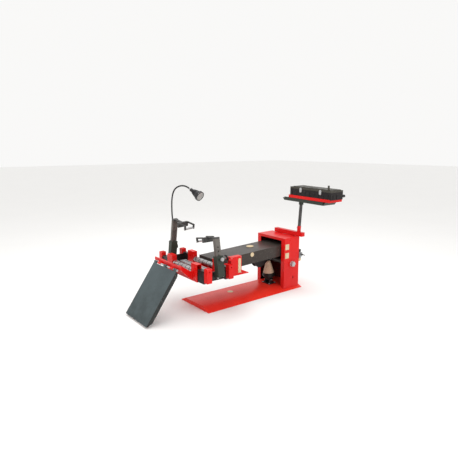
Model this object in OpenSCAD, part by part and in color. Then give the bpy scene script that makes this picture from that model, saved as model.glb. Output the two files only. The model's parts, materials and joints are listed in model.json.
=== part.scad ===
// Truck tyre spreader with a pivoting lift arm, loading ramp, tyre rollers and a tool tray.
// Origin: on the floor, straight below the axis of the tyre that the rollers carry.
// +X runs along the lift arm to the tower, -Y is the operator's side, +Z is up.

/* [Floor pan] */
// Length of the pan on the floor
pan_len = 1118; // [900:2:1400]
// How far the pan reaches past the tyre axis
pan_reach = 8; // [4:1:60]
// Width of the pan on the floor
pan_w = 434; // [400:2:560]
// Width of each sloping side of the pan
pan_slope_w = 82; // [40:1:110]
// Height of the pan
pan_h = 37; // [25:1:60]
// Sheet thickness of the pan and the tower
sheet = 5; // [3:0.5:8]

/* [Tower] */
// Front face of the tower, from the tyre axis
tower_x = 888; // [820:1:980]
// Depth of the tower
tower_d = 198; // [170:1:260]
// Width of the tower over its side walls
tower_w = 376; // [350:2:420]
// Height of the tower
tower_h = 507; // [480:1:620]
// Width of the front flanges
flange_w = 44; // [20:1:55]
// Height of the arm pivot
pivot_z = 250; // [220:1:280]
// Arm pivot behind the tower front
pivot_in = 102; // [90:1:110]
// Diameter of the arm pivot pin
pivot_d = 30; // [20:1:36]

/* [Lift arm] */
// Width of the arm
arm_w = 264; // [200:2:290]
// Height of the arm's box section
arm_h = 106; // [80:1:115]
// Wall of the box section
arm_t = 6; // [4:0.5:8]
// Height of the arm's top face above the tyre axis
arm_top_z = 402.6; // [395:0.1:410]
// Rise of the arm for each millimetre of length
arm_rise = 0.037; // [0:0.001:0.06]

/* [Carriage] */
// Distance from the tyre axis to each roller and guide
guide_x = 105.5; // [95:0.5:120]
// Width of the guide tubes
guide_w = 45; // [40:1:60]
// Underside of the guide tubes
guide_z = 295; // [290:1:300]
// Half length of the guide tubes
guide_y = 232; // [220:1:260]
// Height of the tall end guides
ear_h = 145; // [130:1:160]
// Half gap between the tall end guides
ear_y = 148; // [140:1:160]
// Radius of the tyre rollers
roller_r = 21.5; // [18:0.5:22]
// Height of the tyre roller axles
roller_z = 374; // [372:1:380]
// Diameter of the roller axles
axle_d = 16; // [10:1:20]
// Front bar, from the tyre axis
front_x = 256; // [240:1:300]
// Half length of the front bar
front_y = 208; // [190:1:230]

/* [Ramp] */
// Length of the ramp from its hinge
ramp_len = 484; // [400:1:484]
// Angle of the raised ramp below level
ramp_angle = 55; // [50:0.5:60]
// Width of the ramp
ramp_w = 364; // [330:2:400]
// Depth of the ramp's side flanges
ramp_flange = 34; // [15:1:40]
// Plate thickness of the ramp
ramp_t = 5; // [3:0.5:8]

/* [Spreader heads] */
// Distance from the tyre's middle plane to each crosshead
head_y = 320; // [310:1:340]
// Side of the square end blocks
block_w = 45; // [35:1:45]
// Height of the end blocks
block_h = 115; // [90:1:120]
// Lean of the hook bars towards the tyre, in degrees
bar_lean = 10; // [0:0.5:12]
// Width of the hook bars
bar_w = 50; // [36:1:56]
// Depth of the hook bars
bar_d = 25; // [20:1:28]
// Length of the hook bars
bar_len = 272; // [240:1:300]
// Pitch of the pin holes
hole_pitch = 32; // [24:1:36]
// Diameter of the lock pins
lock_d = 12; // [8:0.5:14]

/* [Tray] */
// Lean of the tray post towards the operator, in degrees
post_lean = 4; // [0:0.5:5]
// Diameter of the tray post
post_d = 30; // [24:1:36]
// Height of the tray above the tower
tray_z = 344; // [280:1:420]
// Length of the tray
tray_len = 475; // [400:1:500]
// Depth of the tray
tray_d = 160; // [140:1:180]
// Length of the tool box
box_len = 481; // [420:1:520]
// Depth of the tool box
box_d = 163; // [140:1:190]
// Height of the tool box without its lid
box_h = 65; // [50:1:90]

/* [Hidden] */
$fn = 48;

red = [0.80, 0.12, 0.10];
black = [0.10, 0.10, 0.11];
grey = [0.50, 0.49, 0.48];
steel = [0.62, 0.63, 0.65];
cream = [0.80, 0.72, 0.60];

fit = 0.05;        // radial clearance of turning and sliding round fits
seat = 0.02;       // radial clearance of round fits that stay put
gap = 0.5;         // clearance of flat faces that slide

// ---- derived places ----
pan_x0 = -pan_reach;
pan_x1 = pan_x0 + pan_len;
tower_x1 = tower_x + tower_d;
tower_y = tower_w / 2;
pivot_x = tower_x + pivot_in;
arm_x0 = guide_x + guide_w / 2;
arm_x1 = tower_x1 - 41;
function arm_top(x) = arm_top_z + arm_rise * x;
function arm_low(x) = arm_top(x) - arm_h;
lug_x = pivot_x - 135;
lug_z = 292;
foot_x = lug_x + 15;
foot_z = pan_h + 38;
rod_tilt = atan((foot_x - lug_x) / (lug_z - foot_z));
rod_len = norm([foot_x - lug_x, lug_z - foot_z]);
eye_pin_d = 16;
eye_gap = 0.9;      // clearance of the ram's upper eye round its pin
guide_wall = 5;
low_h = 53;
guide_top = guide_z + low_h;
ear_top = guide_z + ear_h;
slide_w = guide_w - 2 * guide_wall - 2 * gap;
slide_z = guide_z + guide_wall + gap;
slide_h = low_h - 2 * guide_wall - 2 * gap;
tall_z = ear_top - guide_wall - 30;
front_z = 413;
front_h = 26;
front_t = 12;
hinge_x = -front_x - 20;
hinge_z = front_z - 5;
hinge_d = 12;
knuckle_r = 10;
plate_t = 12;                      // crosshead plate
block_y = head_y + plate_t;        // inner face of the end blocks
bar_foot_z = 351;
bar_foot_y = head_y + 50;
holder_len = 168;
holder_w = bar_w + 12;
holder_d = bar_d + 21;
bar_s0 = 30;
pin_s = 140;
cyl_z = 341;
cyl_r = 31;
cyl_y = 170;
rod_r = 10;
piston_y = 92;
post_x = tower_x1 + 3;
post_y = 16 - tower_y;
socket_len = 97;
rail_w = 38;                       // height of the rail
rail_d = 42;                       // depth of the rail
socket_r = post_d / 2 + 3;
rail_z = tower_h + 3;
air_x = tower_x1 + 28;
air_y = 23 - tower_y;
box_x = 200;
box_y = 300;

// ---- shared shapes ----
module x_rod(r, len) { rotate([0, 90, 0]) cylinder(r = r, h = len, center = true); }
module y_rod(r, len) { rotate([90, 0, 0]) cylinder(r = r, h = len, center = true); }
module block(x0, x1, y0, y1, z0, z1) { translate([x0, y0, z0]) cube([x1 - x0, y1 - y0, z1 - z0]); }
// A side view drawn in X and Z, as thick as t, in the middle of y
module side_plate(y, t) { translate([0, y + t / 2, 0]) rotate([90, 0, 0]) linear_extrude(t) children(); }
module in_post() { translate([post_x, post_y, tower_h]) rotate([post_lean, 0, 0]) children(); }
module in_ramp() { translate([hinge_x, 0, hinge_z]) rotate([0, -ramp_angle, 0]) children(); }
module far_side() { mirror([0, 1, 0]) children(); }
// Local frame of the near hook bar: Z runs up the leaning bar
module in_bar() { translate([0, -bar_foot_y, bar_foot_z]) rotate([-bar_lean, 0, 0]) children(); }
module in_chamber() { translate([foot_x, 0, foot_z]) rotate([0, -rod_tilt, 0]) children(); }

// ---- floor pan ----
slope_cot = pan_slope_w / pan_h;
slope_shift = sheet * norm([pan_slope_w, pan_h]) / pan_h;
module pan_outline() {
  y = pan_w / 2;
  polygon([[-y, 0], [-y + pan_slope_w, pan_h], [y - pan_slope_w, pan_h], [y, 0]]);
}
module pan_hollow() {
  y = pan_w / 2 - slope_shift;
  z = pan_h - sheet;
  polygon([[-y, -1 ], [-y, 0], [-y + z * slope_cot, z], [y - z * slope_cot, z], [y, 0], [y, -1]]);
}
module along_x(x0, x1) { translate([x0, 0, 0]) rotate([90, 0, 90]) linear_extrude(x1 - x0) children(); }

module base_pan() {
  color(red) difference() {
    along_x(pan_x0, pan_x1) pan_outline();
    along_x(pan_x0 + sheet, pan_x1 - sheet) pan_hollow();
  }
}

foot_w = 40;
module pan_feet() {
  y = pan_w / 2 - pan_slope_w - 8;
  color(black) for (x = [pan_x0 + sheet, (pan_x0 + pan_x1 - foot_w) / 2, pan_x1 - sheet - foot_w])
    block(x, x + foot_w, -y, y, 0, pan_h - sheet);
}

module blank_labels() {
  color(cream) {
    for (z = [tower_h - 112, tower_h - 196])
      block(tower_x + 12, tower_x + 60, -tower_y - 1, -tower_y, z, z + 54);
    translate([405, 22, pan_h]) cylinder(r = 27, h = 1);
  }
}

// ---- tower ----
boss_r = 39;
module tower_housing() {
  y = tower_y;
  color(red) difference() {
    union() {
      for (s = [-1, 1]) {
        block(tower_x, tower_x1, s * (y - sheet / 2) - sheet / 2, s * (y - sheet / 2) + sheet / 2, 0, tower_h);
        block(tower_x, tower_x + sheet, s * (y - flange_w / 2) - flange_w / 2,
          s * (y - flange_w / 2) + flange_w / 2, 0, tower_h);
        translate([pivot_x, s * (y + 2.5), pivot_z]) y_rod(boss_r, 5);
      }
      block(tower_x1 - sheet, tower_x1, -y, y, 0, tower_h);
      block(tower_x, tower_x1, -y, y, tower_h - sheet, tower_h);
      block(tower_x, tower_x + sheet, -y, y, tower_h - 25, tower_h);
    }
    along_x(tower_x - 1, tower_x1 + 1) pan_outline();
    translate([pivot_x, 0, pivot_z]) y_rod(pivot_d / 2 + seat, tower_w + 20);
    // slotted access hole in the near wall
    for (z = [103, 119]) translate([pivot_x + 23, -y, z]) y_rod(6, 4 * sheet);
    block(pivot_x + 17, pivot_x + 29, -y - 2 * sheet, -y + 2 * sheet, 103, 119);
    // hose hole in the rear wall
    translate([tower_x1, 100, 120]) x_rod(10, 4 * sheet);
  }
}

pin_half = tower_y + 5 + 4 + 18 + 4;
module pivot_pin() {
  color(steel) translate([pivot_x, 0, pivot_z]) y_rod(pivot_d / 2, 2 * pin_half);
}
module pivot_nuts() {
  color(steel) for (s = [-1, 1]) {
    translate([pivot_x, s * (tower_y + 7), pivot_z]) difference() {
      y_rod(28, 4);
      y_rod(pivot_d / 2 + seat, 6);
    }
    translate([pivot_x, s * (tower_y + 18), pivot_z]) difference() {
      rotate([90, 0, 0]) cylinder(r = pivot_d * 0.885, h = 18, center = true, $fn = 6);
      y_rod(pivot_d / 2 + seat, 20);
    }
  }
}

module rail_bar() {
  y0 = -tower_y - 44;
  color(red) difference() {
    union() {
      block(post_x - rail_d / 2, post_x + rail_d / 2, y0, 138, rail_z, rail_z + rail_w);
      for (y = [-120, 60])
        block(tower_x1, tower_x1 + 5, y, y + 50, tower_h - 70, rail_z + 10);
    }
    block(post_x - rail_d / 2 + 3, post_x + rail_d / 2 - 3, y0 + 3, 135, rail_z + 3, rail_z + rail_w - 3);
    in_post() translate([0, 0, -20]) cylinder(r = socket_r + seat, h = 120);
  }
}

// The clamp screw points away from the operator
module in_clamp() { in_post() translate([0, 0, 70]) rotate([0, 0, 142]) children(); }
module post_socket() {
  color(red) difference() {
    union() {
      in_post() translate([0, 0, 4]) cylinder(r = socket_r, h = socket_len);
      in_clamp() translate([0, -socket_r - 3, 0]) y_rod(9, 12);
    }
    in_post() translate([0, 0, 8]) cylinder(r = post_d / 2 + fit, h = socket_len);
    in_clamp() translate([0, -socket_r, 0]) y_rod(4 + fit, 30);
  }
}

module socket_screw() {
  color(black) in_clamp() {
    translate([0, -post_d / 2 - 15.5, 0]) y_rod(4, 30);
    translate([0, -post_d / 2 - 34, 0]) difference() {
      y_rod(14, 12);
      for (a = [0:60:300]) rotate([0, a, 0]) translate([16, 0, 0]) y_rod(4.5, 14);
    }
  }
}

// ---- lift actuator ----
module lift_clevis() {
  color(black) difference() {
    union() {
      block(foot_x - 45, foot_x + 45, -55, 55, pan_h, pan_h + 6);
      for (s = [-1, 1]) side_plate(s * 35, 10) hull() {
        translate([foot_x, foot_z]) circle(r = 17);
        translate([foot_x - 26, pan_h + 5]) square([52, 1]);
      }
    }
    translate([foot_x, 0, foot_z]) y_rod(eye_pin_d / 2 + seat, 120);
  }
}
module clevis_pin() {
  color(steel) translate([foot_x, 0, foot_z]) {
    y_rod(eye_pin_d / 2, 90);
    translate([0, -43.5, 0]) y_rod(12, 5);
  }
}

chamber_z = 20;
chamber_h = 50;
chamber_r = 56;
boot_h = 120;
module lift_chamber() {
  color(black) in_chamber() difference() {
    union() {
      rotate([90, 0, 0]) linear_extrude(58, center = true) union() {
        circle(r = 17);
        translate([-17, 0]) square([34, chamber_z]);
      }
      translate([0, 0, chamber_z]) cylinder(r1 = chamber_r - 14, r2 = chamber_r, h = 14);
      translate([0, 0, chamber_z + 14]) cylinder(r = chamber_r, h = chamber_h - 14);
      translate([0, 0, chamber_z + 24]) cylinder(r = chamber_r + 6, h = 10);
    }
    y_rod(eye_pin_d / 2 + fit, 80);
    translate([0, 0, chamber_z + 8]) cylinder(r = 12 + fit, h = chamber_h);
  }
}
module lift_rod() {
  color(steel) in_chamber() difference() {
    union() {
      translate([0, 0, chamber_z + 45]) cylinder(r = 12, h = rod_len - 15 - chamber_z - 45);
      translate([0, 0, rod_len]) y_rod(18, 34);
    }
    translate([0, 0, rod_len]) y_rod(eye_pin_d / 2 + eye_gap, 40);
  }
}
module lift_boot() {
  z = chamber_z + chamber_h;
  color(cream) in_chamber() translate([0, 0, z + 0.3]) difference() {
    cylinder(r1 = chamber_r - 1, r2 = 21, h = boot_h);
    translate([0, 0, -1]) cylinder(r1 = chamber_r - 4, r2 = 17.5, h = boot_h - 3);
    cylinder(r = 12.5, h = boot_h + 1);
  }
}

// ---- lift arm ----
tube_half = tower_y - sheet - 13;
// underside of the beam at x
function beam_low(x) = arm_low(arm_x0) + (x - arm_x0 - plate_t) * (arm_low(arm_x1) - arm_low(arm_x0)) / (arm_x1 - arm_x0 - plate_t);
module beam_side(inset) {
  polygon([
    [arm_x0 + plate_t + inset, arm_low(arm_x0) + inset],
    [arm_x1 - inset, arm_low(arm_x1) + inset],
    [arm_x1 - inset, arm_top(arm_x1) - inset],
    [arm_x0 + plate_t + inset, arm_top(arm_x0) - inset]]);
}
module lift_arm() {
  color([0.30, 0.28, 0.27]) difference() {
    union() {
      difference() {
        side_plate(0, arm_w) beam_side(0);
        side_plate(0, arm_w - 2 * arm_t) beam_side(arm_t);
      }
      // plate that bolts to the carriage
      block(arm_x0, arm_x0 + plate_t, -arm_w / 2, arm_w / 2, guide_z + 8, guide_top + 40);
      // heel plates down to the pivot tube
      for (s = [-1, 1]) side_plate(s * (arm_w / 2 - 20), 10) polygon([
        [pivot_x - 75, arm_low(pivot_x - 75) + 1], [pivot_x - 38, pivot_z - 5],
        [pivot_x - 25, pivot_z - 30], [pivot_x + 25, pivot_z - 30],
        [pivot_x + 38, pivot_z - 5], [arm_x1, arm_low(arm_x1) + 1]]);
      translate([pivot_x, 0, pivot_z]) y_rod(pivot_d / 2 + 12, 2 * tube_half);
    }
    translate([pivot_x, 0, pivot_z]) y_rod(pivot_d / 2 + 5, 2 * tube_half + 2);
  }
}
module arm_bushes() {
  color([0.70, 0.55, 0.25]) for (s = [-1, 1])
    translate([pivot_x, s * (tube_half - 18), pivot_z]) difference() {
      union() {
        y_rod(pivot_d / 2 + 5 - seat, 40);
        translate([0, s * 21, 0]) y_rod(pivot_d / 2 + 11, 4);
      }
      y_rod(pivot_d / 2 + fit, 60);
    }
}
module arm_lug() {
  color([0.14, 0.13, 0.13]) for (s = [-1, 1]) difference() {
    side_plate(s * 26, 10) polygon([
      [lug_x - 200, beam_low(lug_x - 200)], [lug_x + 30, beam_low(lug_x + 30)],
      [lug_x + 30, lug_z - 8], [lug_x + 16, lug_z - 16], [lug_x - 30, lug_z - 18],
      [lug_x - 95, lug_z - 58], [lug_x - 125, lug_z - 68], [lug_x - 155, lug_z - 64],
      [lug_x - 180, lug_z - 44], [lug_x - 200, lug_z - 10]]);
    translate([lug_x, 0, lug_z]) y_rod(eye_pin_d / 2 + seat, 90);
  }
}
module lug_pin() {
  color(steel) translate([lug_x, 0, lug_z]) {
    y_rod(eye_pin_d / 2, 70);
    translate([0, -33.5, 0]) y_rod(12, 5);
  }
}
module arm_caps() {
  x_side = 534;
  x_top = 653;
  color([0.72, 0.72, 0.62]) {
    block(box_x + 18, box_x + 48, -box_y - 23, -box_y - 22, 334, 452);
    translate([x_side, -arm_w / 2 - 2, arm_top(x_side) - 22]) y_rod(20, 4);
    translate([x_top, 38, arm_top(x_top)]) rotate([0, -atan(arm_rise), 0]) cylinder(r = 34, h = 4);
  }
}

// ---- carriage ----
module guide_solid(w, dz) {
  for (s = [-1, 1]) block(-w / 2, w / 2, s > 0 ? ear_y : -guide_y, s > 0 ? guide_y : -ear_y,
    guide_z + dz, ear_top - dz);
  block(-w / 2, w / 2, -guide_y, guide_y, guide_z + dz, guide_top - dz);
}
module guide_hollow() {
  w = guide_w - 2 * guide_wall;
  for (s = [-1, 1]) block(-w / 2, w / 2, s > 0 ? ear_y + guide_wall : -guide_y - 1,
    s > 0 ? guide_y + 1 : -ear_y - guide_wall, guide_z + guide_wall, ear_top - guide_wall);
  block(-w / 2, w / 2, -guide_y - 1, guide_y + 1, guide_z + guide_wall, guide_top - guide_wall);
}
module carriage_frame() {
  color(red) difference() {
    union() {
      for (s = [-1, 1]) translate([s * guide_x, 0, 0]) guide_solid(guide_w, 0);
      block(-guide_x, guide_x, -ear_y + 8, ear_y - 8, guide_z, guide_z + 6);
      // arms out to the front bar
      for (s = [-1, 1]) side_plate(s * (ear_y + 4), 8) polygon([
        [-guide_x - guide_w / 2, guide_z + 3], [-guide_x - guide_w / 2, guide_z + 71],
        [-front_x + front_t / 2 + 16, front_z + front_h - 2], [-front_x + front_t / 2, front_z + front_h - 2],
        [-front_x + front_t / 2, front_z]]);
    }
    for (s = [-1, 1]) translate([s * guide_x, 0, 0]) {
      guide_hollow();
      translate([0, 0, roller_z]) y_rod(axle_d / 2 + seat, 2 * (ear_y + guide_wall) + 2);
    }
  }
}
knuckle_y = [-158, 0, 158];        // ramp knuckles
knuckle_l = 40;
module knuckles(list, len, r) {
  for (y = list) translate([hinge_x, y, hinge_z]) y_rod(r, len);
}
module front_bar() {
  bar_list = [-100, 100];
  color(red) difference() {
    union() {
      block(-front_x - front_t / 2, -front_x + front_t / 2, -front_y, front_y, front_z, front_z + front_h);
      knuckles(bar_list, knuckle_l, knuckle_r);
      for (y = bar_list)
        block(hinge_x, -front_x, y - knuckle_l / 2, y + knuckle_l / 2, hinge_z, hinge_z + 10);
    }
    knuckles(bar_list, knuckle_l + 2, hinge_d / 2 + seat);
  }
}
module roller(x) {
  color([0.45, 0.45, 0.46]) translate([x, 0, roller_z]) difference() {
    y_rod(roller_r, 2 * ear_y - 12);
    y_rod(axle_d / 2 + fit, 2 * ear_y);
  }
}
module left_roller() { roller(-guide_x); }
module right_roller() { roller(guide_x); }
module roller_axles() {
  color(steel) for (s = [-1, 1])
    translate([s * guide_x, 0, roller_z]) y_rod(axle_d / 2, 2 * (ear_y + guide_wall));
}
module spread_barrel() {
  cap = 14;
  color(grey) translate([0, 0, cyl_z]) difference() {
    union() {
      y_rod(cyl_r, 2 * cyl_y);
      for (s = [-1, 1]) {
        translate([0, s * (cyl_y + cap / 2), 0]) cube([64, cap, 64], center = true);
        // foot that stands on the carriage floor
        translate([0, s * 118, -cyl_r + 2]) cube([40, 18, 20], center = true);
      }
    }
    for (s = [-1, 1]) {
      translate([0, s * (4 + (cyl_y - 4) / 2), 0]) y_rod(cyl_r - 5, cyl_y - 4);
      translate([0, s * (cyl_y + cap / 2), 0]) y_rod(rod_r + fit, cap + 2);
    }
    // trims the feet to the top of the carriage floor
    translate([0, 0, guide_z + 6 - cyl_z - 20]) cube([100, 500, 40], center = true);
  }
}

// ---- operator's valve on the near side of the arm ----
shelf_z = arm_low(box_x + 138) + 1;
module valve_bracket() {
  color(red) translate([0, 0, shelf_z]) linear_extrude(6) polygon([
    [arm_x0 + plate_t, -arm_w / 2], [box_x - 60, -box_y - 15], [box_x + 138, -box_y - 15],
    [box_x + 138, -arm_w / 2]]);
  color(red) block(arm_x0 + plate_t, box_x + 138, -arm_w / 2 - 5, -arm_w / 2, shelf_z + 6, shelf_z + 60);
}
lever_x = box_x - 68;              // axis of the two hand levers
lever_z = 458;
module control_box() {
  z0 = shelf_z + 6;
  color(red) difference() {
    union() {
      block(box_x - 55, box_x + 55, -box_y - 22, -box_y + 22, z0, 473);
      for (s = [-1, 1]) hull() {
        translate([lever_x, s * 19 - box_y, lever_z]) y_rod(8, 6);
        translate([box_x - 56, s * 19 - 3 - box_y, lever_z - 12]) cube([2, 6, 24]);
      }
    }
    block(box_x - 50, box_x + 50, -box_y - 17, -box_y + 17, z0 - 1, z0 + 80);
  }
  color(steel) translate([lever_x, -box_y, lever_z]) y_rod(4, 44);
}
module hand_lever(dy) {
  color(black) translate([lever_x, -box_y + dy, lever_z]) difference() {
    union() {
      y_rod(8, 12);
      rotate([0, -35, 0]) translate([0, 0, 4]) cylinder(r = 3.5, h = 34);
      rotate([0, -35, 0]) translate([0, 0, 42]) sphere(r = 7);
    }
    y_rod(4 + fit, 14);
  }
}
module lift_lever() { hand_lever(-8); }
module spread_lever() { hand_lever(8); }

// ---- ramp ----
module ramp_plate() {
  y = ramp_w / 2;
  color([0.33, 0.37, 0.38]) difference() {
    union() {
      in_ramp() {
        block(-ramp_len, -knuckle_r - 3, -y, y, 0, ramp_t);
        for (s = [-1, 1]) side_plate(s * (y - ramp_t / 2), ramp_t) polygon([
          [-knuckle_r - 3, ramp_t], [-ramp_len, ramp_t], [-ramp_len, -3],
          [-ramp_len * 0.9, -ramp_flange + ramp_t], [-40, -ramp_flange + ramp_t], [-knuckle_r - 3, -14]]);
        for (k = knuckle_y) block(-knuckle_r - 4, 0, k - knuckle_l / 2 + 0.5, k + knuckle_l / 2 - 0.5, 0, ramp_t);
      }
      knuckles(knuckle_y, knuckle_l, knuckle_r);
    }
    knuckles(knuckle_y, knuckle_l + 2, hinge_d / 2 + fit);
  }
}
module ramp_pin() {
  color(steel) translate([hinge_x, 0, hinge_z]) {
    y_rod(hinge_d / 2, 366);
    for (s = [-1, 1]) translate([0, s * 181, 0]) y_rod(9, 5);
  }
}

// ---- spreader heads, drawn for the near side ----
module crosshead() {
  color(black) {
    for (s = [-1, 1]) translate([s * guide_x, 0, 0]) {
      block(-slide_w / 2, slide_w / 2, -head_y, -95, slide_z, slide_z + slide_h);
      block(-slide_w / 2, slide_w / 2, -head_y, -guide_y - 4, slide_z, tall_z);
    }
    difference() {
      block(-guide_x - guide_w / 2, guide_x + guide_w / 2, -block_y, -head_y, 331 - 14, 389);
      translate([0, -head_y, cyl_z]) y_rod(rod_r - 3 + seat, 40);
    }
  }
}
module blocks() {
  z0 = 317;
  color(red) for (s = [-1, 1]) translate([s * guide_x, -block_y - block_w, z0]) difference() {
    translate([-block_w / 2, 0, 0]) cube([block_w, block_w, block_h]);
    translate([-block_w / 2 + 5, 5, block_h - 4]) cube([block_w - 10, block_w - 10, 5]);
    translate([0, 0, block_h - 23]) y_rod(6, 20);
  }
}
module holder() {
  color([0.30, 0.34, 0.30]) difference() {
    union() {
      in_bar() translate([-holder_w / 2, -holder_d / 2, 0]) cube([holder_w, holder_d, holder_len]);
      block(-holder_w / 2, holder_w / 2, -block_y - 24, -block_y, 353, 388);
      in_bar() translate([0, -holder_d / 2 - 4, pin_s]) y_rod(13, 8);
    }
    in_bar() translate([-bar_w / 2 - gap, -bar_d / 2 - gap, -1])
      cube([bar_w + 2 * gap, bar_d + 2 * gap, holder_len + 2]);
    in_bar() translate([0, -holder_d / 2, pin_s]) y_rod(lock_d / 2 + fit, 30);
  }
}
module hook_bar(up) {
  color(grey) in_bar() translate([0, 0, up]) difference() {
    translate([-bar_w / 2, -bar_d / 2, bar_s0]) cube([bar_w, bar_d, bar_len]);
    for (k = [-2:3]) translate([0, 0, pin_s + k * hole_pitch]) y_rod(lock_d / 2 + fit, bar_d + 2);
    translate([0, 0, bar_s0 + bar_len - 26]) cylinder(r = 8 + fit, h = 30);
  }
}
// Clamp screw that holds the bar in its holder
module clamp_screw() {
  tip = -bar_d / 2 - gap - 0.4;
  color(steel) in_bar() translate([0, 0, pin_s]) {
    translate([0, tip - 17, 0]) y_rod(lock_d / 2, 34);
    translate([0, tip - 38, 0]) y_rod(14, 14);
  }
}
hook_s = bar_s0 + bar_len;
reach = 196;        // from the bar to the hook roller
far_up = 2 * hole_pitch;           // the far bar is set two holes higher
far_turn = 8;                      // the far hook is swung a little, in degrees
module at_hook(up, turn) { in_bar() translate([0, 0, hook_s + up]) rotate([0, 0, turn]) children(); }
module hook() {
  color([0.20, 0.20, 0.21]) difference() {
    union() {
      translate([0, 0, -22]) cylinder(r = 8, h = 24);
      translate([-bar_w / 2, -bar_d / 2, 0.5]) cube([bar_w, bar_d + 4, 12]);
      // neck and cross piece
      translate([-13, 0, 0.5]) cube([26, reach - 76, 12]);
      translate([-54, reach - 96, -26]) cube([108, 20, 42]);
      // two fingers that reach over the bead and turn down
      for (s = [-1, 1]) translate([s * 48 - 6, reach - 80, 6]) cube([12, 90, 12]);
      for (s = [-1, 1]) translate([s * 48 - 6, reach - 2, -24]) cube([12, 12, 42]);
    }
    for (s = [-1, 1]) translate([s * 48, reach + 4, -14]) x_rod(5 + fit, 20);
  }
}
module hook_roller() {
  color(steel) translate([0, reach + 4, -14]) {
    x_rod(9, 82);
    x_rod(5, 108);
  }
}
module spread_rod() {
  color(steel) translate([0, 0, cyl_z]) {
      translate([0, -(head_y + piston_y) / 2, 0]) y_rod(rod_r, head_y - piston_y);
      translate([0, -piston_y - 7, 0]) y_rod(cyl_r - 5 - fit, 14);
      translate([0, -head_y - 6, 0]) y_rod(rod_r - 3, 30);
      // nut on the end of the rod
      translate([0, -block_y - 6, 0]) rotate([90, 0, 0]) cylinder(r = 11, h = 12, center = true, $fn = 6);
  }
}

module near_crosshead() { crosshead(); }
module near_blocks() { blocks(); }
module near_holder() { holder(); }
module near_bar() { hook_bar(0); }
module near_clamp() { clamp_screw(); }
module near_hook() { at_hook(0, 0) hook(); }
module near_hook_roller() { at_hook(0, 0) hook_roller(); }
module near_rod() { spread_rod(); }
module far_crosshead() { far_side() crosshead(); }
module far_blocks() { far_side() blocks(); }
module far_holder() { far_side() holder(); }
module far_bar() { far_side() hook_bar(far_up); }
module far_clamp() { far_side() clamp_screw(); }
module far_hook() { far_side() at_hook(far_up, -far_turn) hook(); }
module far_hook_roller() { far_side() at_hook(far_up, -far_turn) hook_roller(); }
module far_rod() { far_side() spread_rod(); }

// ---- lamp on the far holder ----
lamp_x = 46;
neck_r = 6.5;
neck_path = [[372, 470], [388, 540], [416, 640], [432, 750], [432, 850], [419, 912], [396, 955],
  [362, 985], [318, 1005], [266, 1017], [210, 1020], [160, 1013], [118, 1000]];
lamp_turn = 14;      // degrees that the shade turns towards the tower
lamp_dip = 26;       // degrees that the shade points below level
module in_neck(p) { translate([lamp_x, p[0], p[1]]) children(); }
module lamp_neck() {
  color(black) {
    for (i = [0 : len(neck_path) - 2]) {
      d = neck_path[i + 1] - neck_path[i];
      in_neck(neck_path[i]) rotate([atan2(-d[0], d[1]), 0, 0]) cylinder(r = neck_r, h = norm(d));
      in_neck(neck_path[i + 1]) sphere(r = i == len(neck_path) - 2 ? neck_r + 2.5 : neck_r + 0.6);
    }
    // clamp block on the side of the holder
    block(holder_w / 2, lamp_x + 12, 356, 388, 440, 474);
  }
}
// Z runs out of the shade towards its lens
module in_lamp() { in_neck(neck_path[len(neck_path) - 1]) rotate([0, 0, lamp_turn]) rotate([90 + lamp_dip, 0, 0]) children(); }
module lamp_shade() {
  color([0.12, 0.12, 0.13]) in_lamp() difference() {
    union() {
      translate([0, 0, 9.5]) cylinder(r = 15, h = 30);
      translate([0, 0, 39]) cylinder(r1 = 18, r2 = 38, h = 66);
      translate([0, 0, 105]) cylinder(r = 42, h = 24);
    }
    translate([0, 0, 46]) cylinder(r1 = 16, r2 = 34, h = 60);
    translate([0, 0, 105]) cylinder(r = 37, h = 30);
  }
}
module lamp_lens() {
  color([0.95, 0.93, 0.85]) in_lamp() translate([0, 0, 121]) cylinder(r = 37 - seat, h = 6);
}

// ---- air supply unit on the rear wall ----
module filter_head() {
  color([0.55, 0.56, 0.57]) difference() {
    union() {
      block(tower_x1, tower_x1 + 6, air_y - 30, air_y + 30, 296, 344);
      block(tower_x1 + 6, tower_x1 + 50, air_y - 22, air_y + 22, 300, 340);
      translate([air_x, air_y, 286]) cylinder(r = 21, h = 15);
      translate([air_x, air_y, 339]) cylinder(r = 12, h = 8);
      // shut-off valve seat
      translate([air_x, air_y - 29, 325]) y_rod(9, 16);
    }
    translate([tower_x1 + 50, air_y, 320]) x_rod(6.58, 24);
    translate([air_x, air_y, 280]) cylinder(r = 17, h = 14);
    translate([air_x, air_y, 335]) cylinder(r = 5 + fit, h = 20);
    translate([air_x, air_y - 35, 325]) y_rod(4 + fit, 23);
  }
}
module filter_bowl() {
  color([0.85, 0.80, 0.70]) translate([air_x, air_y, 0]) difference() {
    union() {
      translate([0, 0, 254]) cylinder(r1 = 12, r2 = 20, h = 8);
      translate([0, 0, 262]) cylinder(r = 20, h = 24);
      translate([0, 0, 286]) cylinder(r = 17 - seat, h = 6);
    }
    translate([0, 0, 262]) cylinder(r = 14, h = 40);
  }
}
module regulator_knob() {
  color(black) translate([air_x, air_y, 0]) {
    translate([0, 0, 336]) cylinder(r = 5, h = 14);
    translate([0, 0, 348]) difference() {
      cylinder(r = 17, h = 22);
      for (a = [0:45:315]) rotate([0, 0, a]) translate([19, 0, 5]) cylinder(r = 3.5, h = 20);
    }
  }
}
module shutoff_lever() {
  color(black) translate([air_x, air_y - 38, 325]) {
    translate([0, 4, 0]) y_rod(4, 20);
    translate([0, -4, 0]) y_rod(8, 5);
    translate([-5, -36, -3]) cube([10, 34, 5]);
  }
}

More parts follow.
